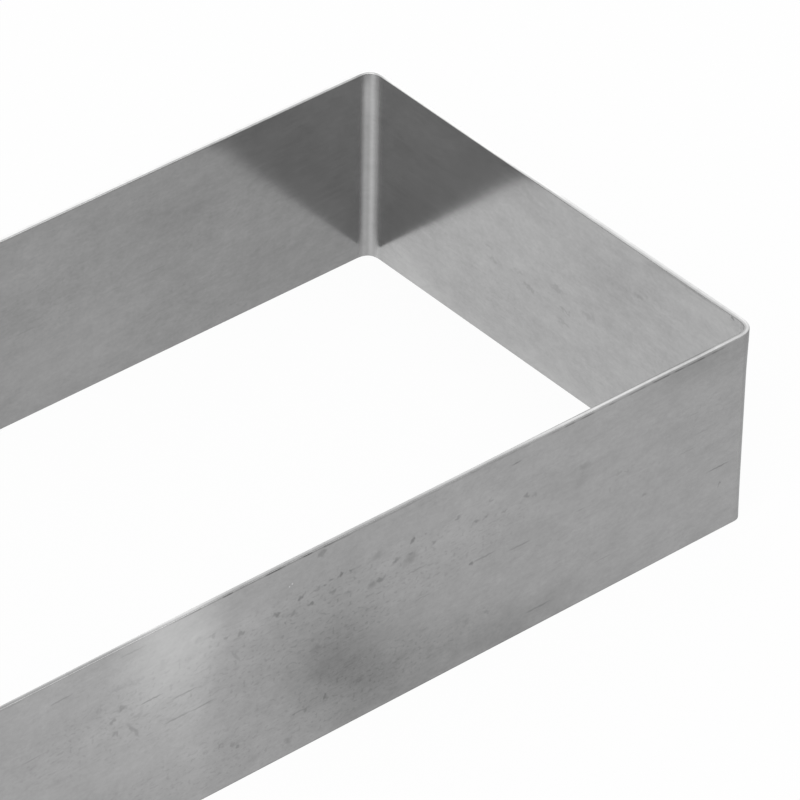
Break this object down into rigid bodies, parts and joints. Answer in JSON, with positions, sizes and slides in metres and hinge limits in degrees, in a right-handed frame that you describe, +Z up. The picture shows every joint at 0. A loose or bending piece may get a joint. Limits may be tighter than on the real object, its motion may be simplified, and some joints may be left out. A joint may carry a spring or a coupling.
{
  "type": "rectangular mousse ring",
  "caption": "Bottomless rectangular ring of folded stainless steel sheet with small rounded bends, closed by a butt weld, in which a mousse or cake sets on a tray.",
  "frame": {"origin": "centre of the ring in plan, on the surface that its lower rim stands on", "axes": "+X along the ring's length, +Y across it towards the side with the weld, +Z up from the lower rim to the upper rim"},
  "size_m": [0.352, 0.1022, 0.04],
  "materials": {
    "sheet_steel": "cold-rolled stainless steel sheet with a soft sheen, fine rolling lines along the strip and light handling marks",
    "weld_steel": "low ripple weld bead, brushed by hand"
  },
  "bodies": {
    "root": {"folded_strip": "sheet_steel", "seam_weld": "weld_steel"}
  },
  "joints": []
}
